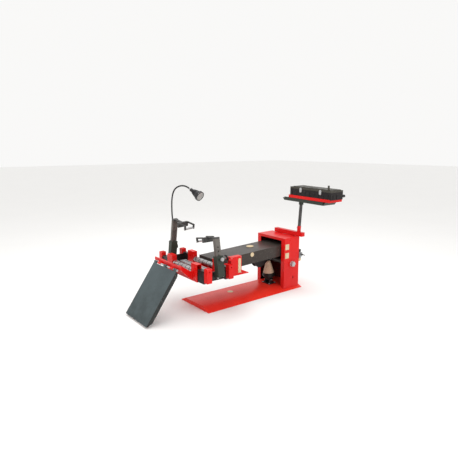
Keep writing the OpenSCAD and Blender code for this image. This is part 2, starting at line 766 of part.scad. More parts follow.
// ---- tray and tool box ----
tray_tilt = 1;                     // the tray is nearly level on the leaning post
tray_t = 4;
tray_y1 = 146;
tray_y0 = tray_y1 - tray_len;
rim_z = 33;
box_z = rim_z + 22;
box_y1 = 72;
box_y0 = box_y1 - box_len;
lid_h = 16;
lid_x = box_d / 2 + 5.5;           // axis of the lid's hinge
lid_y = [box_y0 + 90, box_y1 - 90];
module in_tray() { in_post() translate([0, 0, tray_z]) rotate([tray_tilt - post_lean, 0, 0]) children(); }
module tray_post() {
  color([0.34, 0.34, 0.33]) in_post() difference() {
    translate([0, 0, 9]) cylinder(r = post_d / 2, h = tray_z - 11);
    translate([0, 0, 8]) cylinder(r = post_d / 2 - 3, h = tray_z - 20);
  }
}
module tray_pan() {
  x = tray_d / 2;
  color([0.34, 0.36, 0.31]) difference() {
    union() {
      in_tray() {
        translate([-x, tray_y0, 0]) cube([tray_d, tray_len, tray_t]);
        for (s = [-1, 1]) translate([s * (x - tray_t / 2) - tray_t / 2, tray_y0, 0])
          cube([tray_t, tray_len, 30]);
        // flared ends
        translate([0, tray_y1, 0]) rotate([-50, 0, 0]) translate([-x + 0.5, -tray_t, 0]) cube([tray_d - 1, tray_t, 30]);
        translate([0, tray_y0, 0]) rotate([35, 0, 0]) translate([-x + 0.5, 0, 0]) cube([tray_d - 1, tray_t, 36]);
      }
      in_post() translate([0, 0, tray_z - 34]) cylinder(r = post_d / 2 + 7, h = 35.6);
    }
    in_post() translate([0, 0, tray_z - 36]) cylinder(r = post_d / 2 + fit, h = 35);
  }
}
module tray_rim() {
  x = tray_d / 2;
  y0 = box_y0 + 8;
  y1 = box_y1 + 14;
  color(red) in_tray() difference() {
    translate([-x - 6, y0, rim_z]) cube([tray_d + 10, y1 - y0, box_z + 4 - rim_z]);
    translate([-x + 10, y0 + 14, rim_z - 1]) cube([tray_d - 20, y1 - y0 - 28, 60]);
    // the box sits in this recess
    translate([-box_d / 2 - 0.3, box_y0 - 5, box_z]) cube([box_d + 0.6, box_len + 5.3, 30]);
  }
}
module toolbox_body() {
  color([0.13, 0.12, 0.12]) in_tray() {
    difference() {
      translate([-box_d / 2, box_y0, box_z]) cube([box_d, box_len, box_h]);
      translate([-box_d / 2 + 3, box_y0 + 3, box_z + 3]) cube([box_d - 6, box_len - 6, box_h]);
      translate([box_d / 2, box_y0 + 24, box_z + 24]) x_rod(5 + fit, 40);
    }
    // hinge knuckles along the rear edge
    for (y = lid_y) translate([lid_x, y, box_z + box_h]) difference() {
      union() {
        y_rod(4.5, 30);
        translate([-5.5, -15, -14]) cube([4, 30, 14]);
      }
      y_rod(2.5 + fit, 40);
    }
  }
}
module toolbox_lid() {
  z = box_z + box_h;
  color([0.28, 0.27, 0.25]) in_tray() {
    difference() {
      union() {
        translate([-box_d / 2, box_y0, z + 0.5]) cube([box_d, box_len, lid_h]);
        // raised middle and the upright peg
        translate([-box_d / 2 + 14, box_y0 + 14, z + lid_h]) cube([box_d - 28, box_len - 40, 6]);
        translate([-box_d / 2 + 14, box_y0 + 40, z + lid_h]) cylinder(r = 8.5, h = 44);
        for (y = lid_y) translate([lid_x, y + 26, z]) {
          y_rod(4.5, 20);
          translate([-6.5, -10, 0.5]) cube([6.5, 20, 9]);
        }
      }
      translate([-box_d / 2 + 3, box_y0 + 3, z - 1]) cube([box_d - 6, box_len - 6, lid_h - 2]);
    }
    // pins that turn in the box's knuckles
    for (y = lid_y) translate([lid_x, y, z]) y_rod(2.5, 34);
  }
}
module box_knob() {
  color(black) in_tray() translate([box_d / 2, box_y0 + 24, box_z + 24]) {
    x_rod(5, 24);
    translate([32, 0, 0]) x_rod(12, 42);
  }
}

base_pan();
pan_feet();
blank_labels();
tower_housing();
pivot_pin();
pivot_nuts();
rail_bar();
post_socket();
socket_screw();
lift_clevis();
clevis_pin();
filter_head();
filter_bowl();
regulator_knob();
shutoff_lever();
lift_chamber();
lift_rod();
lift_boot();
lift_arm();
arm_bushes();
arm_lug();
lug_pin();
arm_caps();
carriage_frame();
front_bar();
left_roller();
right_roller();
roller_axles();
spread_barrel();
valve_bracket();
control_box();
lift_lever();
spread_lever();
ramp_plate();
ramp_pin();
near_crosshead();
near_blocks();
near_holder();
near_bar();
near_clamp();
near_hook();
near_hook_roller();
near_rod();
far_crosshead();
far_blocks();
far_holder();
far_bar();
far_clamp();
far_hook();
far_hook_roller();
far_rod();
lamp_neck();
lamp_shade();
lamp_lens();
tray_post();
tray_pan();
tray_rim();
toolbox_body();
toolbox_lid();
box_knob();
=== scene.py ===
"""Truck tyre spreader: floor pan and tower, lift arm with rollers, spreader heads with bead hooks,
folding ramp, gooseneck lamp and a tool tray on a leaning post. Metres, +Z up, floor at z = 0."""
import json
import math
import bmesh
import bpy
import numpy as np
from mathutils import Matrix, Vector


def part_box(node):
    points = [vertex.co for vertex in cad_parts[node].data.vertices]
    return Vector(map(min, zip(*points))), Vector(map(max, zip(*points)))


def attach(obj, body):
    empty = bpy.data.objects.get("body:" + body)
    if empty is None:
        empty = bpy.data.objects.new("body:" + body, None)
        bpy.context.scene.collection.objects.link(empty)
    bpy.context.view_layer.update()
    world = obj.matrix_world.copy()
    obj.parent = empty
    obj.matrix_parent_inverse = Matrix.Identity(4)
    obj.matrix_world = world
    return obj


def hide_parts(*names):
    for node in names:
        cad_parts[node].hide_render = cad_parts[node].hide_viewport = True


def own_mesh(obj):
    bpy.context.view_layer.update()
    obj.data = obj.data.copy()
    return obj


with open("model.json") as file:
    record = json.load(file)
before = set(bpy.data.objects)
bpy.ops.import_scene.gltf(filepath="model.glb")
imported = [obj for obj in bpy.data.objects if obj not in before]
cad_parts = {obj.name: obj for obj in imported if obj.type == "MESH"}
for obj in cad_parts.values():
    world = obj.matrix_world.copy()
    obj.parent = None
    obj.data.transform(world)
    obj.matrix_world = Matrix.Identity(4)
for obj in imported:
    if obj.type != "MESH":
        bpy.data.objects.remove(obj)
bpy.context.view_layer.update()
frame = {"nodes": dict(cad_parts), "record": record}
BODY_OF = {node: body for body, nodes in frame["record"]["behaviour"]["bodies"].items() for node in nodes}
SLOT_OF = {part["node"]: part["material_slot"] for part in frame["record"]["subparts"]}
TAU = 2 * math.pi
ROLLER_X, ROLLER_Z = 0.1055, 0.374        # roller axes, either side of the middle
BARREL_Z = 0.341                          # axis of the spreading cylinder
HOLDER_LEAN = math.radians(10)            # the bar holders lean outwards
POST_LEAN, TRAY_TILT = math.radians(4), math.radians(1)
LAMP_YAW, LAMP_DROP = math.radians(14), math.radians(26)
SIDES = (("near", -1), ("far", 1))        # the two heads and the sign of their Y


# ---------------------------------------------------------------- camera, light, floor
eye = bpy.data.cameras.new("workshop_camera")
eye.lens = 33.33
eye.sensor_width = 36.0
eye.clip_end = 60
camera = bpy.data.objects.new("workshop_camera", eye)
camera.location = (-1.9016, -2.9323, 1.3482)
camera.rotation_euler = (math.radians(79.1), 0, math.radians(-37.8))
bpy.context.scene.collection.objects.link(camera)
bpy.context.scene.camera = camera
bpy.context.scene.view_settings.view_transform = "Standard"


def linear(r, g, b):
    """Display values from 0 to 255 turned into linear light by the usual two-part curve."""
    c = np.array([r, g, b]) / 255
    return tuple(np.where(c < 0.04045, c / 12.92, ((c + 0.055) / 1.055) ** 2.4).tolist())


def soft_box(name, place, aim, size, watts):
    """A square lamp whose -Z axis looks from place to aim."""
    lamp = bpy.data.lights.new(name, "AREA")
    lamp.shape, lamp.size, lamp.energy = "SQUARE", size, watts
    holder = bpy.data.objects.new(name, lamp)
    gaze = np.subtract(aim, place)
    holder.location = place
    holder.rotation_euler = (math.acos(-gaze[2] / np.linalg.norm(gaze)), 0,
                             math.atan2(gaze[1], gaze[0]) - math.pi / 2)
    holder.visible_camera = False
    bpy.context.scene.collection.objects.link(holder)


soft_box("key_box", (0.2, -3.6, 2.7), (0.4, 0, 0.4), 2.6, 37)
soft_box("left_box", (-3.4, -0.8, 2.2), (0.2, 0, 0.4), 2.4, 14)
soft_box("top_box", (0.6, 0.6, 3.6), (0.3, 0, 0.3), 2.4, 46)
sky = bpy.data.worlds.new("studio")
sky.use_nodes = True
sky.node_tree.nodes["Background"].inputs[0].default_value = (1.0, 0.995, 0.985, 1)
sky.node_tree.nodes["Background"].inputs[1].default_value = 0.95
bpy.context.scene.world = sky


# ---------------------------------------------------------------- finishes
class Val:
    """One output socket. Python arithmetic on it adds Math nodes to its finish."""

    def __init__(self, finish, out):
        self.finish, self.out = finish, out

    def math(self, operation, *values):
        return self.finish.node("ShaderNodeMath", {"operation": operation}, dict(enumerate(values)))

    def __add__(self, o): return self.math("ADD", self, o)
    def __radd__(self, o): return self.math("ADD", o, self)
    def __sub__(self, o): return self.math("SUBTRACT", self, o)
    def __rsub__(self, o): return self.math("SUBTRACT", o, self)
    def __mul__(self, o): return self.math("MULTIPLY", self, o)
    def __rmul__(self, o): return self.math("MULTIPLY", o, self)
    def __truediv__(self, o): return self.math("DIVIDE", self, o)
    def __pow__(self, o): return self.math("POWER", self, o)


class Finish:
    """A material under construction: one node method and a few pattern helpers in object coordinates."""

    def __init__(self, name, **shader):
        self.material = bpy.data.materials.new(name)
        self.material.use_nodes = True
        self.tree = self.material.node_tree
        self.shader = self.tree.nodes["Principled BSDF"]
        for socket, value in shader.items():
            self.shader.inputs[socket.replace("_", " ")].default_value = value
        self.place = self.node("ShaderNodeTexCoord", {}, {}, "Object")

    def node(self, kind, settings, values, out=0):
        node = self.tree.nodes.new(kind)
        for key, value in settings.items():
            if key == "stops":
                ramp = node.color_ramp
                while len(ramp.elements) < len(value):
                    ramp.elements.new(0.5)
                for element, (at, colour) in zip(ramp.elements, value):
                    element.position, element.color = at, (*colour, 1)
            else:
                setattr(node, key, value)
        for socket, value in values.items():
            if isinstance(value, Val):
                self.tree.links.new(value.out, node.inputs[socket])
            else:
                node.inputs[socket].default_value = value
        return Val(self, node.outputs[out])

    def cloud(self, scale, detail=3.0, rough=0.5, stretch=(1, 1, 1)):
        """Fractal noise from 0 to 1; stretch squeezes the pattern along an axis."""
        at = self.node("ShaderNodeMapping", {}, {"Vector": self.place, "Scale": stretch})
        return self.node("ShaderNodeTexNoise", {}, {"Vector": at, "Scale": scale, "Detail": detail, "Roughness": rough})

    def step(self, value, low, high):
        """0 below low, 1 above high and an even slope between."""
        return self.node("ShaderNodeMapRange", {}, {0: value, 1: low, 2: high, 3: 0.0, 4: 1.0})

    def height(self):
        return self.node("ShaderNodeSeparateXYZ", {}, {0: self.place}, 2)

    def blend(self, share, a, b):
        """Colour a where share is 0 and colour b where it is 1."""
        a, b = ((*c, 1) if isinstance(c, tuple) else c for c in (a, b))
        return self.node("ShaderNodeMix", {"data_type": "RGBA"}, {0: share, 6: a, 7: b}, 2)

    def wear(self, colour, rough, relief, strength, depth=0.001):
        """Sends the finished patterns to the shader."""
        bump = self.node("ShaderNodeBump", {}, {"Height": relief, "Strength": strength, "Distance": depth})
        for socket, value in (("Base Color", colour), ("Roughness", rough), ("Normal", bump)):
            self.tree.links.new(value.out, self.shader.inputs[socket])
        return self.material


def enamel(name, colour, dark, chip, gloss=0.3, chips=0.66, peel=0.05, dust=0.05, dust_top=0.16,
           grime=(0.20, 0.15, 0.11)):
    """Sprayed paint: slow fading, orange peel, scuffs that dull it, chips to the primer, grime up to dust_top."""
    f = Finish(name, Coat_Weight=0.06, Coat_Roughness=0.2, Specular_IOR_Level=0.2)
    fade = f.step(f.cloud(3.2, 4, 0.55), 0.35, 0.7)
    scuff = f.step(f.cloud(26, 6, 0.7, (1, 1, 3.5)), 0.56, 0.74)
    chipped = f.step(f.cloud(95, 7, 0.62), chips, chips + 0.03)
    dirt = (1 - f.step(f.height(), 0.0, dust_top)) * f.step(f.cloud(11, 5, 0.6), 0.25, 0.65) * dust
    tint = f.blend(fade * 0.55, colour, dark)
    tint = f.blend(scuff * 0.16, tint, tuple(min(1, c + 0.16) for c in colour))
    tint = f.blend(dirt, tint, grime)
    tint = f.blend(chipped * 0.85, tint, chip)
    rough = scuff * 0.22 + chipped * 0.3 + fade * 0.06 + dirt * 0.4 + gloss
    relief = f.cloud(620, 2, 0.5) * peel + (1 - chipped) * 0.35 + f.cloud(7, 2) * 0.12
    return f.wear(tint, rough, relief, 0.32)


def machined(name, colour, dark, rough=0.28, grain=(1, 40, 1), metallic=1.0, rust=0.12):
    """Bare steel or alloy: fine tool lines along one axis, smudges and a few stained spots."""
    f = Finish(name, Metallic=metallic)
    lines = f.cloud(38, 4, 0.6, grain)
    smudge = f.step(f.cloud(17, 5, 0.6), 0.42, 0.7)
    stain = f.step(f.cloud(60, 6, 0.66), 0.63, 0.74) * rust
    tint = f.blend(smudge * 0.5, colour, dark)
    tint = f.blend(stain, tint, (0.16, 0.08, 0.04))
    return f.wear(tint, lines * 0.16 + smudge * 0.14 + stain * 0.5 + rough, lines * 0.6 + f.cloud(300) * 0.2, 0.22)


def moulded(name, colour, dark, rough=0.5, grain=420, relief=0.35):
    """Plastic or rubber: leather-fine grain, soft blotches and rubbed patches."""
    f = Finish(name, Specular_IOR_Level=0.4)
    blotch = f.step(f.cloud(14, 4), 0.35, 0.7)
    rubbed = f.step(f.cloud(55, 5, 0.65), 0.55, 0.72)
    pores = f.node("ShaderNodeTexVoronoi", {}, {"Vector": f.place, "Scale": grain})
    tint = f.blend(blotch * 0.5, colour, dark)
    tint = f.blend(rubbed * 0.15, tint, tuple(min(1, c + 0.1) for c in colour))
    return f.wear(tint, blotch * 0.1 - rubbed * 0.12 + rough, pores * 0.6 + f.cloud(90) * 0.4, relief)


def bellows_rubber(name, colour, dark):
    """Cream rubber with dirt caught on one side of its folds and a fine chalky bloom."""
    f = Finish(name, Specular_IOR_Level=0.3)
    grime = f.step(f.cloud(32, 6, 0.65, (1, 1, 2.2)), 0.42, 0.78)
    bloom = f.step(f.cloud(130, 3), 0.45, 0.65)
    tint = f.blend(grime * 0.55, colour, dark)
    tint = f.blend(bloom * 0.14, tint, (0.85, 0.8, 0.72))
    return f.wear(tint, 0.62 + bloom * 0.12 - grime * 0.1, f.cloud(240, 3) + grime * 0.3, 0.25)


def lens_glass(name):
    """Pressed glass seen as a glossy grey face: small cells in relief, a light haze and a clear coat."""
    f = Finish(name, IOR=1.46, Coat_Weight=0.6, Coat_Roughness=0.05)
    cells = f.node("ShaderNodeTexVoronoi", {}, {"Vector": f.place, "Scale": 190})
    haze = f.step(f.cloud(40, 4), 0.4, 0.7)
    tint = f.blend(haze * 0.4, (0.42, 0.42, 0.40), (0.22, 0.23, 0.22))
    return f.wear(tint, haze * 0.1 + 0.08, cells, 0.5)


def plain_floor(name):
    """Pale matt studio floor with the faintest mottling."""
    f = Finish(name, Specular_IOR_Level=0.1)
    mottle = f.cloud(1.3, 4)
    return f.wear(f.blend(mottle, (0.90, 0.895, 0.885), (0.925, 0.92, 0.91)), mottle * 0.1 + 0.8, f.cloud(30), 0.05)


PRIMER = (0.12, 0.10, 0.09)
FINISH = {
    "red_paint": enamel("red_enamel", linear(219, 22, 18), linear(190, 10, 13), (0.13, 0.015, 0.012), 0.27),
    # painted light: a lighter, more orange copy of the red for the whole base pan, standing in for top light and sheen
    "pan_lit_paint": enamel("pan_lit_enamel", linear(240, 50, 34), linear(212, 30, 22), (0.20, 0.03, 0.025), 0.3, 0.64),
    "black_paint": enamel("black_enamel", linear(32, 27, 27), linear(19, 16, 17), (0.13, 0.115, 0.11), 0.33, 0.65),
    "arm_paint": enamel("arm_enamel", linear(62, 55, 51), linear(38, 32, 29), (0.16, 0.14, 0.12), 0.32, 0.64, 0.07),
    "green_paint": enamel("grey_green_enamel", linear(56, 63, 55), linear(38, 43, 38), PRIMER, 0.38, 0.65),
    "olive_paint": enamel("olive_enamel", linear(70, 67, 59), linear(48, 45, 40), PRIMER, 0.35, 0.65),
    # the ramp darkens in broad blotches below 0.36 m towards a near-black copy of its own blue grey
    "ramp_paint": enamel("ramp_enamel", linear(77, 89, 92), linear(54, 62, 64), (0.06, 0.055, 0.05), 0.42, 0.63, 0.09,
                         0.75, 0.36, (0.035, 0.042, 0.043)),
    # painted shade: a dark maroon copy of the red for the faces inside the tower, where shade falls
    "inner_shade_paint": enamel("inner_shade_enamel", linear(92, 14, 18), linear(52, 12, 14), (0.04, 0.02, 0.02), 0.5, 0.62),
    # painted shade: a darker copy of the ramp's blue grey for its side flanges and its tip at the floor
    "ramp_shade_paint": enamel("ramp_shade_enamel", linear(44, 47, 47), linear(28, 30, 30), (0.14, 0.13, 0.12), 0.5, 0.60),
    "bar_steel": machined("bar_steel", linear(116, 111, 106), linear(76, 72, 69), 0.40, (30, 30, 1), 0.7),
    "bright_steel": machined("bright_steel", linear(196, 196, 196), linear(128, 128, 130), 0.24),
    "dark_steel": machined("blackened_steel", linear(84, 83, 82), linear(52, 51, 51), 0.42, (1, 1, 30), 0.7),
    "bronze": machined("turned_bronze", linear(206, 164, 88), linear(140, 102, 52), 0.3),
    "alloy": machined("cast_alloy", linear(170, 172, 174), linear(110, 112, 116), 0.42, (1, 1, 1), 0.85),
    "pale_rubber": bellows_rubber("cream_rubber", linear(196, 164, 138), linear(124, 92, 70)),
    "black_rubber": moulded("black_rubber", linear(36, 34, 34), linear(22, 21, 21), 0.62, 260),
    "black_plastic": moulded("black_plastic", linear(38, 37, 39), linear(25, 24, 26), 0.45),
    "pale_plastic": moulded("cream_plastic", linear(214, 196, 160), linear(190, 156, 116), 0.42, 500, 0.12),
    "lens_glass": lens_glass("pressed_glass"),
}


# ---------------------------------------------------------------- shaping
def build(name, points, faces, finish, body, sharp=34.0):
    """A piece from a vertex array and a list of faces: doubles merged, faces turned outwards."""
    mesh = bpy.data.meshes.new(name)
    mesh.from_pydata(np.asarray(points).reshape(-1, 3).tolist(), [], faces)
    return settle(name, mesh, finish, body, sharp)


def settle(name, mesh, finish, body, sharp, turn=True):
    """Merges doubles, shades smooth between edges flatter than sharp degrees, and rides on its body."""
    work = bmesh.new()
    work.from_mesh(mesh)
    bmesh.ops.remove_doubles(work, verts=work.verts, dist=1e-6)
    bmesh.ops.dissolve_degenerate(work, edges=work.edges, dist=1e-7)
    if turn:
        bmesh.ops.recalc_face_normals(work, faces=work.faces)
    else:
        bmesh.ops.dissolve_limit(work, angle_limit=0.004, verts=work.verts, edges=work.edges)
    for face in work.faces:
        face.smooth = True
    for edge in work.edges:
        edge.smooth = len(edge.link_faces) == 2 and edge.calc_face_angle(0) < math.radians(sharp)
    work.to_mesh(mesh)
    work.free()
    mesh.materials.clear()
    mesh.materials.append(FINISH[finish])
    piece = bpy.data.objects.new(name, mesh)
    bpy.context.scene.collection.objects.link(piece)
    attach(piece, body)
    return piece


def grid_faces(rows, columns, round_rows=False, round_columns=True, start=0):
    """Index quads of a rows by columns grid, closed on itself along a direction where asked."""
    r, c = np.meshgrid(np.arange(rows if round_rows else rows - 1),
                       np.arange(columns if round_columns else columns - 1), indexing="ij")
    r2, c2 = (r + 1) % rows, (c + 1) % columns
    quads = np.stack([r * columns + c, r * columns + c2, r2 * columns + c2, r2 * columns + c], -1)
    return (quads.reshape(-1, 4) + start).tolist()


def side_axes(axis):
    """Two unit vectors square to axis and to each other."""
    axis = np.asarray(axis, float) / np.linalg.norm(axis)
    first = np.cross(axis, (0, 0, 1) if abs(axis[2]) < 0.9 else (1, 0, 0))
    first /= np.linalg.norm(first)
    return axis, first, np.cross(axis, first)


def turned(centre, axis, profile, steps=48, shape=None):
    """Lathe surface: point(s, a) = centre + axis * h(s) + r(s) * shape(a) * (cos a, sin a) on the side axes."""
    axis, first, second = side_axes(axis)
    profile = np.asarray(profile, float)
    a = np.arange(steps) * TAU / steps
    out = np.ones(steps) if shape is None else shape(a)
    ring = out[:, None] * (np.cos(a)[:, None] * first + np.sin(a)[:, None] * second)
    return np.asarray(centre) + profile[:, 1][:, None, None] * axis + profile[:, 0][:, None, None] * ring[None]


def hexagon(a):
    """Radius of a hexagon whose flats touch the unit circle, softened a little at its corners."""
    return np.minimum(1 / np.cos((a + TAU / 12) % (TAU / 6) - TAU / 12), 1.12)


def many(name, grids, finish, body, sharp=34.0, round_rows=False):
    """Several closed-round grids in one piece."""
    points, faces, count = [], [], 0
    for grid in grids:
        rows, columns = grid.shape[:2]
        faces += grid_faces(rows, columns, round_rows, True, count)
        points.append(grid.reshape(-1, 3))
        count += rows * columns
    return build(name, np.concatenate(points), faces, finish, body, sharp)


def bolt(centre, axis, size=0.008):
    """Hex head on a washer: two lathe surfaces, the head's radius following a hexagon, its crown chamfered."""
    s = size
    washer = turned(centre, axis, [(0, 0), (s * 1.25, 0), (s * 1.3, s * 0.1), (s * 1.25, s * 0.24), (0, s * 0.24)], 24)
    head = turned(centre, axis, [(0, s * 0.2), (s * 0.8, s * 0.2), (s * 0.8, s * 0.76), (s * 0.7, s * 0.88),
                                 (s * 0.3, s * 0.9), (0, s * 0.9)], 24, hexagon)
    return [washer, head]


def bolts(name, places, axis, body, size=0.008, finish="bright_steel"):
    return many(name, [g for at in places for g in bolt(at, axis, size)], finish, body, 25)


def swept(path, radius, steps=12, closed=False):
    """Tube: circles of radius r(i) square to the path. One side axis lies in the plane that fits the path best."""
    path = np.asarray(path, float)
    ahead = np.roll(path, -1, 0) - np.roll(path, 1, 0) if closed else np.gradient(path, axis=0)
    ahead /= np.linalg.norm(ahead, axis=1)[:, None]
    spread = np.linalg.svd(path - path.mean(0), full_matrices=False)
    level = spread[2][-1] if spread[1][1] > 1e-6 else side_axes(ahead[0])[1]
    first = np.cross(ahead, level)
    first /= np.linalg.norm(first, axis=1)[:, None]
    second = np.cross(ahead, first)
    a = np.arange(steps) * TAU / steps
    radius = np.broadcast_to(radius, len(path))
    tube = (path[:, None] + radius[:, None, None] *
            (np.cos(a)[None, :, None] * first[:, None] + np.sin(a)[None, :, None] * second[:, None]))
    if closed:
        return tube
    ends = [np.repeat(path[:1, None], steps, 1), np.repeat(path[-1:, None], steps, 1)]
    return np.concatenate([ends[0], tube, ends[1]])


def line(*corners, pitch=0.0022):
    """Points at an even pitch along straight runs between corners."""
    corners = np.asarray(corners, float)
    runs = []
    for a, b in zip(corners[:-1], corners[1:]):
        n = max(2, int(np.linalg.norm(b - a) / pitch))
        runs.append(a + (b - a) * np.linspace(0, 1, n, endpoint=False)[:, None])
    return np.concatenate(runs + [corners[-1:]])


def weld(*corners, size=0.0032):
    """Weld bead: a tube along the seam whose radius ripples like laid drops, with a slow waver."""
    path = line(*corners)
    i = np.arange(len(path))
    ripple = size * (0.86 + 0.12 * np.abs(np.sin(i * 1.05)) + 0.06 * np.sin(i * 0.17))
    return swept(path, ripple, 8)


def smooth_path(corners, count):
    """Catmull-Rom curve through the corners: each span is the usual cubic of its four neighbours."""
    p = np.asarray(corners, float)
    p = np.concatenate([2 * p[:1] - p[1:2], p, 2 * p[-1:] - p[-2:-1]])
    t = np.linspace(0, len(p) - 3 - 1e-9, count)
    k = t.astype(int)
    u = (t - k)[:, None]
    a, b, c, d = p[k], p[k + 1], p[k + 2], p[k + 3]
    return 0.5 * (2 * b + (c - a) * u + (2 * a - 5 * b + 4 * c - d) * u ** 2 + (3 * b - a - 3 * c + d) * u ** 3)


def pillow(centre, half, power=6.0, rows=14, columns=40):
    """Rounded block: the superellipsoid x^p + y^p + z^p = 1 stretched to the half sizes."""
    v = np.linspace(-math.pi / 2, math.pi / 2, rows)[:, None]
    a = (np.arange(columns) * TAU / columns)[None]
    bend = lambda w: np.sign(w) * np.abs(w) ** (2 / power)
    unit = np.stack(np.broadcast_arrays(bend(np.cos(v)) * bend(np.cos(a)), bend(np.cos(v)) * bend(np.sin(a)),
                                        bend(np.sin(v)) * np.ones_like(a)), -1)
    return np.asarray(centre) + unit * np.asarray(half)


# ---------------------------------------------------------------- CAD nodes, edges eased
EASE = {"ramp_plate": 1.6, "carriage_frame": 1.6, "near_blocks": 1.8, "far_blocks": 1.8, "lift_arm": 1.6,
        "tower_housing": 1.2, "base_pan": 1.0, "toolbox_lid": 1.6, "toolbox_body": 1.4, "control_box": 2.0,
        "blank_labels": 0.3, "arm_caps": 0.5, "lamp_lens": 0.8, "tray_pan": 1.0, "front_bar": 1.4}
REMADE = {"lift_boot", "lamp_neck"}


def two_tone(piece, finish, chosen):
    """Gives the faces picked by chosen(centres, normals) the second finish."""
    mesh = piece.data
    count = len(mesh.polygons)
    centres, normals = np.empty(count * 3), np.empty(count * 3)
    mesh.polygons.foreach_get("center", centres)
    mesh.polygons.foreach_get("normal", normals)
    mesh.materials.append(FINISH[finish])
    mesh.polygons.foreach_set("material_index", chosen(centres.reshape(-1, 3), normals.reshape(-1, 3)).astype(np.int32))


low, high = (np.array(corner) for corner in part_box("tower_housing"))
TONES = {
    # painted shade: faces inside the tower walls take the dark maroon copy of the red
    "tower_housing": ("inner_shade_paint", lambda c, n: ((c > low + 0.0035) & (c < high - 0.0035)).all(1)
                      & (c[:, 0] > low[0] + 0.008) & (np.abs(c[:, 1]) < 0.185)),
    # painted light: every face of the base pan takes the lighter, more orange copy of the red
    "base_pan": ("pan_lit_paint", lambda c, n: np.ones(len(c), bool)),
    # painted shade: ramp faces turned to ±Y and faces below 2 cm take the darker copy of its blue grey
    "ramp_plate": ("ramp_shade_paint", lambda c, n: (np.abs(n[:, 1]) > 0.9) | (c[:, 2] < 0.02)),
}
for node, body in BODY_OF.items():
    if node in REMADE:
        continue
    mesh = frame["nodes"][node].data.copy()
    mesh.name = node + "_eased"
    if "custom_normal" in mesh.attributes:
        mesh.attributes.remove(mesh.attributes["custom_normal"])
    eased = settle(node + "_eased", mesh, SLOT_OF[node], body, 30.0, turn=False)
    rim = eased.modifiers.new("eased_edges", "BEVEL")
    rim.width = EASE.get(node, 0.8) / 1000
    rim.segments = 2
    rim.limit_method = "ANGLE"
    rim.angle_limit = math.radians(32)
    rim.harden_normals = True
    rim.use_clamp_overlap = True
    if node in TONES:
        two_tone(eased, *TONES[node])
    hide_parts(node)

# ---------------------------------------------------------------- rubber boot over the lift ram
foot = np.array([0.870, 0.0, 0.075])      # clevis pin
up = np.array([-15.0, 0, 217.0]) / math.hypot(15, 217)
BOOT_FOOT = 0.0703                        # start of the boot along the ram
h = np.linspace(0, 1, 150)
fold = 0.5 - 0.5 * np.cos(h * TAU * 9)
skin = 0.0548 - 0.0335 * h ** 0.92 + fold * 0.0030 - 0.0022
boot_profile = np.concatenate([[(0.050, BOOT_FOOT)], np.stack([skin, 0.0712 + h * 0.117], 1),
                               [(0.0205, 0.1895), (0.0185, 0.1903), (0.0128, 0.1903), (0.0128, 0.1870)]])
boot = many("ram_boot", [turned(foot, up, boot_profile, 72)], "pale_rubber", "lift_cylinder", 60)
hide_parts("lift_boot")
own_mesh(boot)

# ---------------------------------------------------------------- gooseneck lamp
NECK = [(372, 470), (388, 540), (416, 640), (432, 750), (432, 850), (419, 912), (396, 955),
        (362, 985), (318, 1005), (266, 1017), (210, 1020), (160, 1013), (118, 1000)]
neck_path = smooth_path([(0.046, y / 1000, z / 1000) for y, z in NECK], 620)
turns = np.concatenate([[0], np.cumsum(np.linalg.norm(np.diff(neck_path, axis=0), axis=1))]) / 0.0058
neck_radius = 0.0061 + 0.0007 * np.abs(np.sin(turns * math.pi))
neck_radius[:22] = 0.0078
neck = many("lamp_gooseneck", [swept(neck_path, neck_radius, 16)], "black_rubber", "far_head", 40)
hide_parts("lamp_neck")
ball = np.array([0.046, 0.118, 1.000])
many("lamp_ball", [turned(ball - np.array([0, 0, 0.009]), (0, 0, 1),
                          [(0.009 * math.sin(t), 0.009 - 0.009 * math.cos(t))
                           for t in np.linspace(0, math.pi, 18)], 28)],
     "bright_steel", "far_head")
many("lamp_clamp", [pillow((0.0445, 0.372, 0.457), (0.0134, 0.0158, 0.0168), 8)], "black_paint", "far_head")
bolts("lamp_clamp_bolt", [(0.058, 0.364, 0.450), (0.058, 0.381, 0.450)], (1, 0, 0), "far_head", 0.0035)
aim = np.array([math.sin(LAMP_YAW) * math.cos(LAMP_DROP),
                -math.cos(LAMP_YAW) * math.cos(LAMP_DROP), -math.sin(LAMP_DROP)])
_, across, upward = side_axes(aim)
outward = [math.cos(t) * across + math.sin(t) * upward for t in np.arange(6) * TAU / 6 + 0.3]
many("lamp_bezel_screws", [grid for way in outward for grid in
                           bolt(ball + aim * 0.1225 + 0.0415 * way, way, 0.0026)], "bright_steel", "lamp_head", 25)
ribs = [turned(ball + aim * d, aim, [(r - 0.004, -0.0012), (r, -0.0012), (r + 0.0016, -0.0006), (r + 0.0016, 0.0006),
                                     (r, 0.0012), (r - 0.004, 0.0012)], 48)
        for d, r in [(0.044, 0.0195), (0.052, 0.022), (0.060, 0.0244), (0.068, 0.0268), (0.076, 0.0292)]]
many("lamp_cooling_ribs", ribs, "black_plastic", "lamp_head", 30, round_rows=True)

# ---------------------------------------------------------------- roller bands, clamp grips
for name, x in (("left", -ROLLER_X), ("right", ROLLER_X)):
    many(name + "_roller_bands",
         [turned((x, y, ROLLER_Z), (0, 1, 0), [(0.0195, -0.004), (0.0213, -0.004), (0.0217, -0.0034), (0.0218, 0),
                                            (0.0217, 0.0034), (0.0213, 0.004), (0.0195, 0.004)], 56)
          for y in (-0.112, -0.056, 0.0, 0.056, 0.112)], "dark_steel", name + "_roller", 30, round_rows=True)


def knurled(depth, teeth):
    """Radius factor of a grip with even rounded teeth: 1 - depth * |sin(teeth * angle / 2)|."""
    return lambda a: 1 - depth * np.abs(np.sin(a * teeth / 2))


def on_bar(points, side):
    """Points of a leaning bar holder moved to their place: turned about X, shifted, mirrored for side = 1."""
    p = np.asarray(points, float)
    c, d = math.cos(HOLDER_LEAN), math.sin(HOLDER_LEAN)
    y, z = p[..., 1] * c + p[..., 2] * d - 0.370, p[..., 2] * c - p[..., 1] * d + 0.351
    return np.stack([p[..., 0], y * -side, z], -1)


